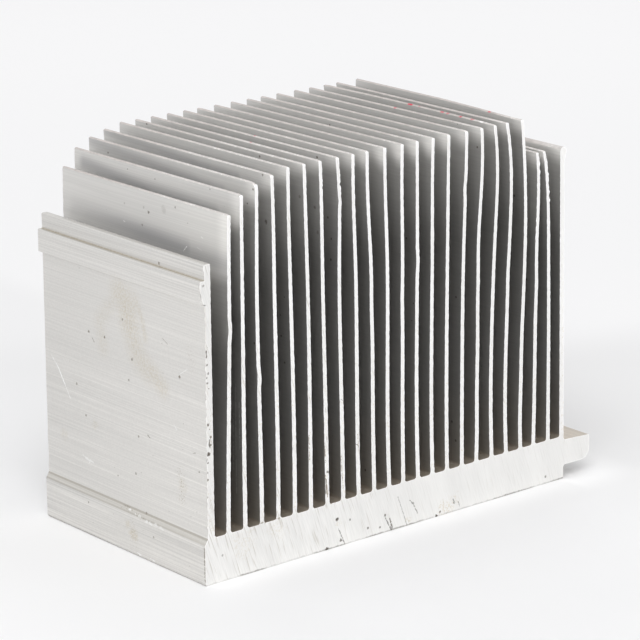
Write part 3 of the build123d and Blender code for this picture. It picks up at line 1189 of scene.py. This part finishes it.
        # Painted light: the first fin is lightened towards the sawn end, near its top
        painted_lit_end = wiring.product(wiring.ramp(y, 0.0, -18 * MM), first_fin, wiring.ramp(z, 50 * MM, 56 * MM))
        colour = wiring.tint(colour, painted_lit_end, self.painted_light_tone)
        start, end = self.second_fin
        second_fin = wiring.product(
            wiring.ramp(x, start, start + 0.2 * MM),
            wiring.ramp(x, end, end - 0.2 * MM),
        )
        bright = wiring.strongest(
            wiring.product(effects.trails(wiring, flat, self.bright_marks), first_fin),
            wiring.product(effects.trails(wiring, flat, self.streaks), second_fin),
        )
        return wiring.blend(bright, colour, self.bright)

    def _open_side(self, wiring: Wiring, place: Socket) -> tuple[Socket, Socket]:
        """Picks out the first fin.

        Args:
            wiring: the wiring of the material.
            place: the place on the surface.

        Returns:
            Whether the place is on the first fin, and the place flattened across.
        """
        x, _, _ = wiring.parts(place)
        first_fin = wiring.ramp(x, self.first_fin_limit, self.first_fin_limit - 0.3 * MM)
        return first_fin, wiring.stretch(place, ACROSS_FLAT)


@dataclass(frozen=True)
class TipFinish:
    """The fins' crowned tips, a little pink, lighter towards the sawn end and the left from wear and painted
    highlight, with red and white specks.
    """

    name: str = "tip_finish"
    metal: Colour = (0.66, 0.62, 0.595, 1.0)
    worn_and_highlight: Colour = (0.90, 0.885, 0.865, 1.0)
    red: Colour = (0.75, 0.10, 0.14, 1.0)
    white: Colour = (0.97, 0.96, 0.95, 1.0)

    red_specks: tuple[Patch, ...] = (
        Patch(on_tips(20.9, -0.3), 0.95),
        Patch(on_tips(20.9, -2.6), 0.4, 0.5),
        Patch(on_tips(20.85, -8.8), 0.6, 0.8),
        Patch(on_tips(20.85, -10.3), 0.5, 0.6),
        Patch(on_tips(20.75, -13.7), 0.6, 0.8),
        Patch(on_tips(20.7, -16.7), 0.6, 0.6),
        Patch(on_tips(26.9, -14.2), 0.55, 0.7),
        Patch(on_tips(17.0, -0.6), 0.5, 0.6),
        Patch(on_tips(-15.1, -1.5), 0.45, 0.7),
        Patch(on_tips(-18.7, -4.8), 0.45, 0.7),
    )
    white_specks: tuple[Patch, ...] = (Patch(on_tips(20.45, -19.2), 0.6),)

    def make(self, effects: Effects) -> bpy.types.Material:
        """Makes the material of the tips.

        Args:
            effects: the shared surface effects.

        Returns:
            The material.
        """
        material, wiring, shader, place = new_material(self.name)
        flat = wiring.stretch(place, (1.0, 1.0, 0.0))
        x, y, _ = wiring.parts(place)
        # Wear and painted highlight with glints, towards the sawn end and on the left
        at_end = wiring.ramp(y, -14 * MM, -21 * MM, 0.0, 0.8)
        at_left = wiring.product(wiring.ramp(x, 0.0, -24 * MM), wiring.ramp(y, 12 * MM, -8 * MM), 0.8)
        glints = wiring.ramp(wiring.noise(place, scale=1700.0, detail=2.0, roughness=0.6), 0.56, 0.66)
        shown = wiring.ramp(glints, 0.0, 1.0, 0.55, 1.1)
        worn_and_highlight = wiring.sum("MULTIPLY", wiring.strongest(at_end, at_left), shown, clamp=True)
        colour = wiring.blend(worn_and_highlight, self.metal, self.worn_and_highlight)
        grain = wiring.noise(place, scale=600.0, detail=3.0, roughness=0.6)
        colour = wiring.shade(colour, wiring.ramp(grain, 0.3, 0.7, 0.9, 1.05))
        for specks, tone in ((self.red_specks, self.red), (self.white_specks, self.white)):
            colour = wiring.blend(effects.patches(wiring, flat, specks), colour, tone)
        wiring.feed(shader.inputs["Base Color"], colour)
        shader.inputs["Metallic"].default_value = 1.0
        shader.inputs["Roughness"].default_value = 0.5
        return material


@dataclass(frozen=True)
class Dent:
    """A local push across one wall or fin, near the sawn end that faces the camera.

    The walls and fins are counted from the left wall, which is number 0. Millimetres.
    """

    number: int
    height: float
    reach: float
    push: float


@dataclass(frozen=True)
class Burr:
    """A ragged lip along part of one front edge, standing out to the left (-1) or right (1)."""

    number: int
    side: int
    low: float
    high: float
    reach: float


@dataclass
class Extrusion:
    """The whole heat sink as one dressed mesh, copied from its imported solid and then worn."""

    name: str = "heat_sink_extrusion"
    pitch: float = 3.45 * MM
    fin_count: int = 22
    base_thickness: float = 8.1 * MM
    root_radius: float = 0.5 * MM
    merge_distance: float = 0.001 * MM
    flat_angle: float = math.radians(0.05)
    smooth_angle: float = math.radians(30)

    # How far the outside faces reach in from either side of the box, and where a tip's crown is
    left_margin: float = 2.4 * MM
    right_margin: float = 7.0 * MM
    crown_from: float = 50 * MM
    crown_facing: float = 0.5

    # How squarely a face looks along the length where it is a sawn end, or the rim round one
    end_facing: float = 0.99
    rim_facing: float = 0.7

    # The bevelled rim round each end, given a painted highlight in its colour, and how far it falls back
    rim_width: float = 0.13 * MM
    rim_drop: float = 0.03 * MM

    # Distances from either end at which the mesh is cut across, so that it can be worn there
    front_cuts: tuple[float, ...] = (0.12, 0.35, 0.8, 1.6, 3.2, 6.4, 12.0, 22.0, 34.0)
    back_cuts: tuple[float, ...] = (0.12, 0.8)
    tall_step: float = 3.0 * MM
    front_lip_step: float = 0.4 * MM
    back_lip_step: float = 1.0 * MM
    lip_band: float = 0.36 * MM

    # How uneven the edges of the sawn ends are in each direction, and the size of the unevenness
    unevenness: tuple[tuple[Axis, float], ...] = ((Axis.ACROSS, 0.08 * MM), (Axis.UP, 0.06 * MM))
    grain: float = 0.7 * MM

    # How far each fin's tip stands to the right at the back end, against the front one
    back_leans: tuple[float, ...] = (
        -0.22, -0.22, -0.29, -0.33, -0.27, -0.31, -0.32, -0.47, -0.29, -0.26, -0.36,
        -0.47, -0.15, -0.52, -0.51, -0.48, -0.46, -0.09, 0.06, 1.28, -0.15, 0.9,
    )
    # The fins that are bent at their front corner alone, with the share of the length that it takes
    front_bends: dict[int, float] = field(default_factory=lambda: {20: 0.5, 22: 0.6})

    # The fins whose tips stand out to the right between their ends
    bows: dict[int, float] = field(default_factory=lambda: {18: 0.65})

    # The radius to which handling has rounded the fins' top corners
    front_corner_radius: float = 0.38 * MM
    back_corner_radius: float = 0.15 * MM
    front_corner_radii: dict[int, float] = field(default_factory=lambda: {1: 0.5, 2: 0.6, 3: 1.2, 4: 0.6})

    # Where the end of the left wall's rib is crushed, and how far it is pushed in at its foot
    crush_top: float = 50.2 * MM
    rib_foot: float = 48.0 * MM
    crush_limit: float = -43.3 * MM
    crush_length: float = 1.4 * MM
    crush_reach: float = 0.7 * MM

    dents: tuple[Dent, ...] = (
        Dent(1, 42.9, 1.5, 0.2),
        Dent(3, 33.6, 1.5, 0.18),
        Dent(8, 60.6, 1.3, 0.14),
        Dent(13, 47.0, 1.8, 0.15),
        Dent(16, 58.0, 1.5, -0.15),
        Dent(17, 20.5, 7.0, -0.22),
        Dent(17, 42.0, 4.5, 0.12),
        Dent(21, 37.8, 4.5, 0.18),
        Dent(20, 20.5, 6.0, 0.14),
        Dent(19, 41.0, 4.0, -0.11),
        Dent(10, 41.0, 4.0, -0.12),
        Dent(12, 41.0, 4.0, -0.10),
    )
    burrs: tuple[Burr, ...] = (
        Burr(0, -1, 9.0, 47.5, 0.16),
        Burr(0, -1, 48.4, 52.0, 0.2),
        Burr(0, -1, 53.6, 54.9, 0.22),
        Burr(7, 1, 62.8, 65.2, 0.16),
        Burr(8, 1, 61.0, 65.0, 0.14),
        Burr(22, 1, 51.0, 61.6, 0.15),
        Burr(21, 1, 57.0, 61.5, 0.14),
        Burr(21, -1, 45.0, 60.0, 0.08),
    )

    piece: bpy.types.Object = field(default=None, init=False)

    def __post_init__(self) -> None:
        """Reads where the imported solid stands."""
        self.low, self.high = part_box(NODE)

    def build(self, effects: Effects) -> bpy.types.Object:
        """Makes the piece.

        Args:
            effects: the shared surface effects.

        Returns:
            The finished object.
        """
        self._copy_solid()
        self._add_finishes(effects)
        self._frame_ends()
        self._cut_across()
        self._place_finishes()
        self._wear()
        for axis, reach in self.unevenness:
            self._roughen(axis, reach)
        self._keep_in_box()
        bpy.ops.object.shade_smooth_by_angle(angle=self.smooth_angle)
        self._measure_slots()
        return self.piece

    def _copy_solid(self) -> None:
        """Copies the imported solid's mesh and merges its loose triangles into whole faces."""
        self.piece = bpy.data.objects.new(self.name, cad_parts[NODE].data.copy())
        bpy.context.scene.collection.objects.link(self.piece)
        bpy.ops.object.select_all(action="DESELECT")
        self.piece.select_set(True)
        bpy.context.view_layer.objects.active = self.piece
        bpy.ops.mesh.customdata_custom_splitnormals_clear()
        bpy.ops.object.mode_set(mode="EDIT")
        bpy.ops.mesh.select_all(action="SELECT")
        bpy.ops.mesh.remove_doubles(threshold=self.merge_distance)
        bpy.ops.mesh.dissolve_limited(angle_limit=self.flat_angle)
        bpy.ops.object.mode_set(mode="OBJECT")

    def _add_finishes(self, effects: Effects) -> None:
        """Gives the piece its finishes, in the order of their enum.

        Args:
            effects: the shared surface effects.
        """
        mesh = self.piece.data
        mesh.materials.clear()
        for face in mesh.polygons:
            face.material_index = Surface.MILL.value
        finishes = {
            Surface.MILL: MillFinish(),
            Surface.SAWN: SawnFinish(),
            # The rim's near-white colour is a painted highlight on the bevel
            Surface.RIM: SawnFinish("sawn_rim_highlight", (0.98, 0.975, 0.96, 1.0), line_depth=0.03, mark_show=0.3),
            Surface.SLOT: SlotFinish(),
            Surface.TIP: TipFinish(),
        }
        for surface in Surface:
            mesh.materials.append(finishes[surface].make(effects))

    def _select(self, wanted: Callable[[bmesh.types.BMFace], bool]) -> bmesh.types.BMesh:
        """Selects the faces that a test picks, in edit mode.

        Args:
            wanted: tells whether a face is picked.

        Returns:
            The mesh under edit.
        """
        mesh = bmesh.from_edit_mesh(self.piece.data)
        bpy.ops.mesh.select_all(action="DESELECT")
        for face in mesh.faces:
            face.select_set(wanted(face))
        bmesh.update_edit_mesh(self.piece.data)
        return mesh

    def _frame_ends(self) -> None:
        """Draws both sawn ends in a little and insets them back, so that a bevelled rim runs round them."""
        bpy.ops.object.mode_set(mode="EDIT")
        for outward in (-1, 1):
            mesh = self._select(lambda face: outward * face.normal.y > self.end_facing)
            bpy.ops.transform.translate(value=(0, -outward * self.rim_drop, 0))
            bpy.ops.mesh.inset(thickness=self.rim_width, depth=self.rim_drop, use_even_offset=True)
            for face in mesh.faces:
                if face.select:
                    face.material_index = Surface.SAWN.value
                elif outward * face.normal.y > self.rim_facing:
                    face.material_index = Surface.RIM.value
            bmesh.update_edit_mesh(self.piece.data)
        bpy.ops.object.mode_set(mode="OBJECT")

    def _slice(self, place: Vector, normal: Vector) -> None:
        """Cuts all that is not hidden along a plane.

        Args:
            place: a place on the plane.
            normal: the direction that it faces.
        """
        bpy.ops.mesh.select_all(action="SELECT")
        bpy.ops.mesh.bisect(plane_co=place, plane_no=normal)

    def _cut_across(self) -> None:
        """Cuts the mesh at its stations, finely at the lips of both ends."""
        across, up = Vector((0, 1, 0)), Vector((0, 0, 1))
        bpy.ops.object.mode_set(mode="EDIT")
        for distance in self.front_cuts:
            self._slice(Vector((0, self.low.y + distance * MM, 0)), across)
        for distance in self.back_cuts:
            self._slice(Vector((0, self.high.y - distance * MM, 0)), across)
        start = self.base_thickness + self.root_radius
        for height in spaced(start, self.high.z, self.tall_step):
            self._slice(Vector((0, 0, height)), up)
        front_lip = self.low.y + self.lip_band
        back_lip = self.high.y - self.lip_band
        self._cut_lip(lambda face: face.calc_center_median().y < front_lip, self.front_lip_step)
        self._cut_lip(lambda face: face.calc_center_median().y > back_lip, self.back_lip_step)
        bpy.ops.object.mode_set(mode="OBJECT")

    def _cut_lip(self, wanted: Callable[[bmesh.types.BMFace], bool], step: float) -> None:
        """Cuts the standing faces that a test picks at close heights.

        Args:
            wanted: tells whether a face belongs to the lip.
            step: how far apart the cuts are.
        """
        self._select(lambda face: wanted(face) and face.calc_center_median().z > self.base_thickness)
        bpy.ops.mesh.hide(unselected=True)
        for height in spaced(self.base_thickness + self.root_radius, self.high.z, step):
            self._slice(Vector((0, 0, height)), Vector((0, 0, 1)))
        bpy.ops.mesh.reveal(select=False)

    def _place_finishes(self) -> None:
        """Gives each face off the ends the finish that its place and direction call for."""
        inner_left = self.low.x + self.left_margin
        inner_right = self.high.x - self.right_margin
        for face in self.piece.data.polygons:
            centre = face.center
            if face.material_index != Surface.MILL.value:
                continue
            if centre.z < self.base_thickness - 0.1 * MM or not inner_left < centre.x < inner_right:
                continue
            crowned = face.normal.z > self.crown_facing and centre.z > self.crown_from
            face.material_index = (Surface.TIP if crowned else Surface.SLOT).value

    def _walls(self, mesh: bmesh.types.BMesh) -> list[list[bmesh.types.BMVert]]:
        """Finds the walls and fins by what hangs together above their roots.

        Args:
            mesh: the mesh of the piece.

        Returns:
            The points of each wall and fin, from the left wall to the right one.
        """
        root_top = self.base_thickness + self.root_radius + 0.05 * MM
        loose = {vert for vert in mesh.verts if vert.co.z > root_top}
        walls = []
        while loose:
            wall = [loose.pop()]
            for vert in wall:
                for edge in vert.link_edges:
                    other = edge.other_vert(vert)
                    if other in loose:
                        loose.remove(other)
                        wall.append(other)
            walls.append(wall)
        walls.sort(key=lambda wall: min((vert.co.z, vert.co.x) for vert in wall)[1])
        return walls

    def _wear(self) -> None:
        """Leans the fins, rounds their corners, dents them and raises burrs on their edges."""
        mesh = bmesh.new()
        mesh.from_mesh(self.piece.data)
        number_of = mesh.verts.layers.int.new("wall")
        walls = self._walls(mesh)
        log.info("walls and fins: %d", len(walls))
        for number, wall in enumerate(walls):
            tip = max(vert.co.z for vert in wall)
            for vert in wall:
                vert[number_of] = number + 1
                self._dent(vert, number)
                self._crush_rib(vert, number)
                self._raise_burr(vert, number)
                if 0 < number <= self.fin_count:
                    self._lean(vert, number, tip)
                    self._round_corner(vert, number, tip)
        mesh.to_mesh(self.piece.data)
        mesh.free()

    def _lean(self, vert: bmesh.types.BMVert, number: int, tip: float) -> None:
        """Bends a point of a fin over, more towards the back end and the tip.

        Args:
            vert: the point.
            number: its wall or fin, counted from the left wall.
            tip: how high the fin is.
        """
        along = (vert.co.y - self.low.y) / (self.high.y - self.low.y)
        run = self.front_bends.get(number)
        if run:
            along = smooth(along / run)
        rise = (vert.co.z - self.base_thickness) / (tip - self.base_thickness)
        sharpness = 6 if run else 2
        vert.co.x += self.back_leans[number - 1] * MM * along * rise**sharpness
        bulge = max(math.sin(math.pi * along), 0.0) ** 0.5
        vert.co.x += self.bows.get(number, 0) * MM * bulge * rise**8

    def _round_corner(self, vert: bmesh.types.BMVert, number: int, tip: float) -> None:
        """Rounds a fin's top corner at either end.

        Args:
            vert: the point.
            number: its wall or fin, counted from the left wall.
            tip: how high the fin is.
        """
        for end, outward in ((self.low.y, -1), (self.high.y, 1)):
            radius = self.back_corner_radius
            if outward < 0:
                radius = self.front_corner_radii.get(number, self.front_corner_radius / MM) * MM
            along = (outward * (vert.co.y - end) + radius) / radius
            rise = (vert.co.z - tip + radius) / radius
            if along <= 0 or rise <= 0:
                continue
            drawn_in = max(along, rise) / math.hypot(along, rise)
            vert.co.y = end + outward * radius * (along * drawn_in - 1)
            vert.co.z = tip + radius * (rise * drawn_in - 1)

    def _dent(self, vert: bmesh.types.BMVert, number: int) -> None:
        """Pushes a point across where its fin has a dent.

        Args:
            vert: the point.
            number: its wall or fin, counted from the left wall.
        """
        for dent in self.dents:
            if dent.number != number:
                continue
            away = (vert.co.z / MM - dent.height) / dent.reach
            behind = (vert.co.y - self.low.y) / MM / dent.reach
            vert.co.x += dent.push * MM * math.exp(-away * away - behind)

    def _crush_rib(self, vert: bmesh.types.BMVert, number: int) -> None:
        """Tapers the rib's underside back to the wall near the sawn end that faces the camera.

        Args:
            vert: the point.
            number: its wall or fin, counted from the left wall.
        """
        behind = (vert.co.y - self.low.y) / self.crush_length
        drop = (self.crush_top - vert.co.z) / (self.crush_top - self.rib_foot)
        if number == 0 and behind < 1 and 0 < drop < 1.02 and vert.co.x < self.crush_limit:
            vert.co.x += self.crush_reach * drop * (1 - behind) ** 2

    def _raise_burr(self, vert: bmesh.types.BMVert, number: int) -> None:
        """Pulls a point of a front edge out into a ragged lip.

        Args:
            vert: the point.
            number: its wall or fin, counted from the left wall.
        """
        if vert.co.y > self.low.y + 0.2 * MM:
            return
        for burr in self.burrs:
            if burr.number != number or not burr.low < vert.co.z / MM < burr.high:
                continue
            if not any(burr.side * face.normal.x > 0.7 for face in vert.link_faces):
                continue
            ragged = noise.noise(Vector((burr.low, 0, vert.co.z / MM * 1.3)))
            ragged += 0.5 * noise.noise(Vector((burr.high, 7, vert.co.z / MM * 3.1)))
            vert.co.x += burr.side * burr.reach * MM * ragged * 1.6

    def _roughen(self, axis: Axis, reach: float) -> None:
        """Makes the edges of both sawn ends a little uneven, with an applied Displace modifier.

        Args:
            axis: the direction in which the edges move.
            reach: how far they move in all.
        """
        group = self.piece.vertex_groups.new(name=f"edges_{axis.name.lower()}")
        group.add(sorted(self._edge_points()), 1.0, "REPLACE")
        cloud = bpy.data.textures.new(f"uneven_{axis.name.lower()}", "CLOUDS")
        cloud.noise_scale = self.grain
        cloud.noise_depth = 2
        modifier = self.piece.modifiers.new("uneven", "DISPLACE")
        modifier.texture = cloud
        modifier.texture_coords = "LOCAL"
        modifier.direction = axis.value
        modifier.vertex_group = group.name
        modifier.mid_level = 0.5
        modifier.strength = reach * 2
        bpy.ops.object.modifier_apply(modifier=modifier.name)

    def _edge_points(self) -> set[int]:
        """Finds where a sawn end meets the sides.

        Returns:
            The numbers of those points of the mesh.
        """
        end_points: set[int] = set()
        side_points: set[int] = set()
        for face in self.piece.data.polygons:
            at_end = face.material_index in (Surface.SAWN.value, Surface.RIM.value)
            (end_points if at_end else side_points).update(face.vertices)
        return end_points & side_points

    def _keep_in_box(self) -> None:
        """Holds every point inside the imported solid's box."""
        for vert in self.piece.data.vertices:
            vert.co = [min(max(value, low), high) for value, low, high in zip(vert.co, self.low, self.high)]

    def _measure_slots(self) -> None:
        """Stores how far down in its slot each corner of a face lies, below the lower wall beside it."""
        mesh = self.piece.data
        wall_of = mesh.attributes["wall"].data
        tips = [0.0] * (self.fin_count + 2)
        for vert, wall in zip(mesh.vertices, wall_of):
            if wall.value:
                tips[wall.value - 1] = max(tips[wall.value - 1], vert.co.z)
        depths = [0.0] * len(mesh.loops)
        for face in mesh.polygons:
            wall = max(wall_of[index].value for index in face.vertices) - 1
            if wall < 0:
                mouth = self.high.z
            else:
                beside = wall + (1 if face.normal.x > 0 else -1)
                beside = min(max(beside, 0), len(tips) - 1)
                mouth = min(tips[wall], tips[beside])
            for loop in face.loop_indices:
                depths[loop] = mouth - mesh.vertices[mesh.loops[loop].vertex_index].co.z
        attribute = mesh.attributes.new(SlotFinish.depth_name, "FLOAT", "CORNER")
        attribute.data.foreach_set("value", depths)


@dataclass(frozen=True)
class Lamp:
    """A soft square lamp that faces the heat sink, in metres and watts."""

    name: str
    place: Vector
    power: float
    size: float = 1.6


@dataclass(frozen=True)
class Studio:
    """A pale floor with painted light and shade round the heat sink, an even white surround and large soft
    lamps.
    """

    floor_tone: Colour = (0.925, 0.925, 0.93, 1.0)
    floor_size: float = 6.0
    floor_drop: float = 0.00002
    surround: Colour = (0.94, 0.94, 0.945, 1.0)
    fill: float = 0.75
    lamps: tuple[Lamp, ...] = (
        Lamp("key", Vector((-1.1, -1.1, 2.0)), 26.0),
        Lamp("side", Vector((1.3, -1.8, 1.3)), 5.5),
    )

    # Round pools of painted light on the floor: their middle, their reach and by how much
    painted_light_pools: tuple[tuple[Vector, float, float], ...] = (
        (Vector((-20, 56, 0)) * MM, 60 * MM, 0.085),
        (Vector((82, 12, 0)) * MM, 50 * MM, 0.04),
    )

    def build(self) -> None:
        """Makes the floor, the world and the lamps."""
        self._floor()
        self._world()
        for lamp in self.lamps:
            self._hang(lamp)

    def _floor(self) -> None:
        """Lays the floor just under the heat sink."""
        bpy.ops.object.select_all(action="DESELECT")
        bpy.ops.mesh.primitive_plane_add(size=self.floor_size, location=(0, 0, -self.floor_drop))
        floor = bpy.context.object
        floor.name = "floor"
        material, wiring, shader, place = new_material("floor_paper")
        tone = self._floor_light(wiring, place)
        wiring.feed(shader.inputs["Base Color"], wiring.shade(self.floor_tone, tone))
        shader.inputs["Roughness"].default_value = 0.7
        shader.inputs["Specular IOR Level"].default_value = 0.2
        floor.data.materials.append(material)

    def _floor_light(self, wiring: Wiring, place: Socket) -> Socket:
        """Paints light and shade on the floor round the heat sink as it is in the photograph.

        Args:
            wiring: the wiring of the floor's material.
            place: the place on the floor.

        Returns:
            What the floor's own tone is multiplied by.
        """
        x, y, _ = wiring.parts(place)
        away = wiring.sum("MULTIPLY_ADD", x, 0.636, wiring.product(y, 0.771))
        aside = wiring.sum("MULTIPLY_ADD", x, 0.771, wiring.product(y, -0.636))
        # A painted shadow band across the floor behind the heat sink, darker to the right
        painted_shadow_band = wiring.product(
            wiring.ramp(away, 110 * MM, 75 * MM),
            wiring.ramp(away, -10 * MM, 25 * MM),
            wiring.ramp(aside, -70 * MM, 50 * MM, 0.03, 0.07),
        )
        # Painted shade on the floor just in front of the base, and painted light farther out
        before = wiring.ramp(wiring.sum("ABSOLUTE", x), 44 * MM, 30 * MM)
        painted_shade_in_front = wiring.product(before, wiring.ramp(y, -36 * MM, -27 * MM, 0.0, 0.045))
        painted_light_beyond = wiring.product(
            before, wiring.ramp(y, -32 * MM, -44 * MM), wiring.ramp(y, -74 * MM, -50 * MM), -0.022
        )
        # Painted light: the floor grows lighter far behind the heat sink
        tone = wiring.sum("SUBTRACT", wiring.ramp(away, 150 * MM, 480 * MM, 1.0, 1.06), painted_shadow_band)
        # Painted shade on the floor beside the heat sink
        beside = wiring.product(
            wiring.ramp(x, -90 * MM, -56 * MM),
            wiring.ramp(y, -60 * MM, -10 * MM),
            wiring.ramp(y, 44 * MM, 26 * MM),
            0.035,
        )
        # Painted light that lifts the shadow under the tongue
        painted_light_under_tongue = wiring.product(
            wiring.ramp(x, 36 * MM, 38 * MM),
            wiring.ramp(x, 54 * MM, 45 * MM),
            wiring.ramp(y, -32 * MM, -24 * MM),
            wiring.ramp(y, 34 * MM, 24 * MM),
            -0.08,
        )
        changes = [painted_shade_in_front, painted_light_beyond, beside, painted_light_under_tongue]
        # Pools of painted light on the floor
        for middle, reach, lift in self.painted_light_pools:
            from_middle = wiring.vector("DISTANCE", place, middle).outputs["Value"]
            changes.append(wiring.ramp(from_middle, reach, 0.0, 0.0, -lift))
        return wiring.fold("SUBTRACT", tone, *changes)

    def _world(self) -> None:
        """Makes the surround: brighter to the eye, in reflections and through glass than as light."""
        world = bpy.data.worlds.new("surround")
        world.use_nodes = True
        world.node_tree.nodes.clear()
        wiring = Wiring(world.node_tree)
        rays = wiring.add("ShaderNodeLightPath")
        kinds = ("Is Camera Ray", "Is Glossy Ray", "Is Transmission Ray")
        seen = wiring.strongest(*(rays.outputs[kind] for kind in kinds))
        background = wiring.add("ShaderNodeBackground")
        wiring.feed(background.inputs["Color"], self.surround)
        wiring.feed(background.inputs["Strength"], wiring.ramp(seen, 0.0, 1.0, self.fill, 1.0))
        output = wiring.add("ShaderNodeOutputWorld")
        wiring.feed(output.inputs["Surface"], background.outputs[0])
        bpy.context.scene.world = world

    def _hang(self, lamp: Lamp) -> None:
        """Hangs a lamp and turns it to the heat sink.

        Args:
            lamp: the lamp.
        """
        light = bpy.data.lights.new(lamp.name, "AREA")
        light.size = lamp.size
        light.energy = lamp.power
        shown = bpy.data.objects.new(lamp.name, light)
        shown.location = lamp.place
        shown.rotation_euler = lamp.place.to_track_quat("Z", "Y").to_euler()
        bpy.context.scene.collection.objects.link(shown)


@dataclass(frozen=True)
class Viewpoint:
    """Where the photograph was taken from, and through which lens."""

    place: Vector = Vector((-328.85, -398.43, 183.62)) * MM
    azimuth: float = math.radians(-39.512)
    elevation: float = math.radians(16.333)
    roll: float = math.radians(-0.625)
    lens: float = 171.8
    sensor_width: float = 36.0
    clip_range: tuple[float, float] = (0.01, 20.0)

    def build(self) -> None:
        """Makes the camera the scene's own."""
        data = bpy.data.cameras.new("viewpoint")
        data.lens = self.lens
        data.sensor_width = self.sensor_width
        data.clip_start, data.clip_end = self.clip_range
        camera = bpy.data.objects.new("viewpoint", data)
        turn = Matrix.Rotation(self.azimuth, 4, "Z")
        tilt = Matrix.Rotation(math.pi / 2 - self.elevation, 4, "X")
        lean = Matrix.Rotation(self.roll, 4, "Z")
        camera.matrix_world = Matrix.Translation(self.place) @ turn @ tilt @ lean
        bpy.context.scene.collection.objects.link(camera)
        bpy.context.scene.camera = camera


def main() -> None:
    """Builds the camera, the studio and the dressed heat sink, and reports each piece."""
    logging.basicConfig(level=logging.INFO, format="%(message)s")
    bpy.context.scene.view_settings.view_transform = "Standard"
    Viewpoint().build()
    Studio().build()
    effects = Effects()
    piece = Extrusion().build(effects)
    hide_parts(NODE)
    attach(piece, BODY)
    log.info("%s: %d faces", piece.name, len(piece.data.polygons))


if __name__ == "__main__":
    main()
